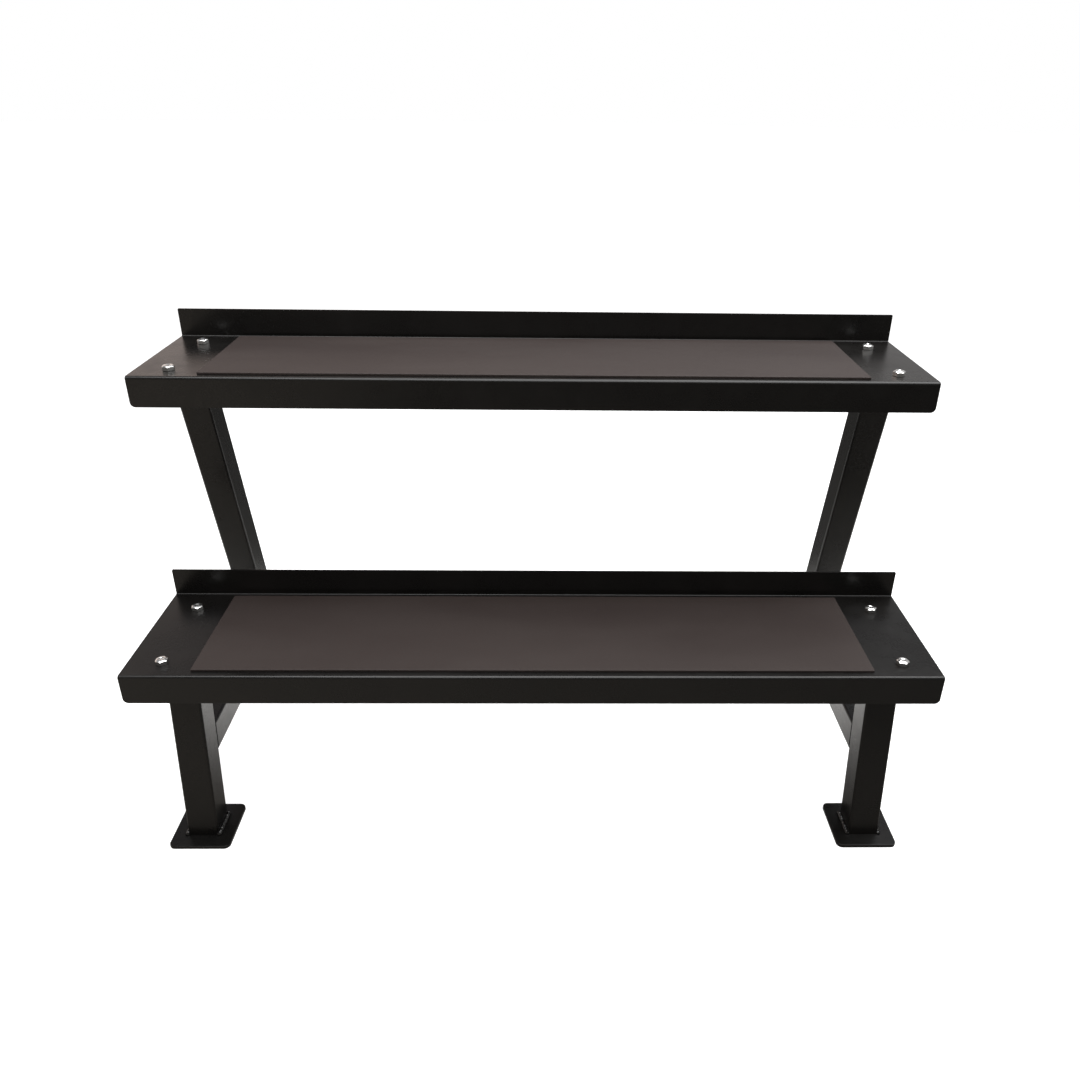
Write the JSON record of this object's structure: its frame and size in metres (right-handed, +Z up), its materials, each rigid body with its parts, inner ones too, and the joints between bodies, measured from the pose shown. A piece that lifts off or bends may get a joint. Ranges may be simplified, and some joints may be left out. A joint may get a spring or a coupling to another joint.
{
  "type": "dumbbell rack",
  "caption": "Two-tier dumbbell rack: folded steel trays with rubber mats, bolted to welded square-tube side frames that stand on foot plates.",
  "frame": {"origin": "on the floor, at the middle of the rack's footprint", "axes": "+X along the trays, to the right as a user faces the rack; +Y from the front to the back; +Z up"},
  "size_m": [1.22, 0.57, 0.791],
  "materials": {
    "black_powder_coat": "satin black powder coat",
    "black_rubber": "matt dark rubber sheet",
    "black_plastic": "moulded black plastic",
    "bright_zinc": "bright zinc plate"
  },
  "bodies": {
    "root": {"lower_tray": "black_powder_coat", "lower_mat": "black_rubber", "upper_tray": "black_powder_coat", "upper_mat": "black_rubber", "front_leg_left": "black_powder_coat", "rear_leg_left": "black_powder_coat", "side_rail_left": "black_powder_coat", "front_foot_plate_left": "black_powder_coat", "rear_foot_plate_left": "black_powder_coat", "lower_arm_left": "black_powder_coat", "lower_arm_plug_front_left": "black_plastic", "lower_arm_plug_rear_left": "black_plastic", "upper_arm_left": "black_powder_coat", "upper_arm_plug_front_left": "black_plastic", "upper_arm_plug_rear_left": "black_plastic", "front_leg_right": "black_powder_coat", "rear_leg_right": "black_powder_coat", "side_rail_right": "black_powder_coat", "front_foot_plate_right": "black_powder_coat", "rear_foot_plate_right": "black_powder_coat", "lower_arm_right": "black_powder_coat", "lower_arm_plug_front_right": "black_plastic", "lower_arm_plug_rear_right": "black_plastic", "upper_arm_right": "black_powder_coat", "upper_arm_plug_front_right": "black_plastic", "upper_arm_plug_rear_right": "black_plastic", "lower_bolt_front_left": "bright_zinc", "lower_washer_front_left": "bright_zinc", "lower_nut_front_left": "bright_zinc", "lower_bolt_rear_left": "bright_zinc", "lower_washer_rear_left": "bright_zinc", "lower_nut_rear_left": "bright_zinc", "lower_bolt_front_right": "bright_zinc", "lower_washer_front_right": "bright_zinc", "lower_nut_front_right": "bright_zinc", "lower_bolt_rear_right": "bright_zinc", "lower_washer_rear_right": "bright_zinc", "lower_nut_rear_right": "bright_zinc", "upper_bolt_front_left": "bright_zinc", "upper_washer_front_left": "bright_zinc", "upper_nut_front_left": "bright_zinc", "upper_bolt_rear_left": "bright_zinc", "upper_washer_rear_left": "bright_zinc", "upper_nut_rear_left": "bright_zinc", "upper_bolt_front_right": "bright_zinc", "upper_washer_front_right": "bright_zinc", "upper_nut_front_right": "bright_zinc", "upper_bolt_rear_right": "bright_zinc", "upper_washer_rear_right": "bright_zinc", "upper_nut_rear_right": "bright_zinc"}
  },
  "joints": []
}
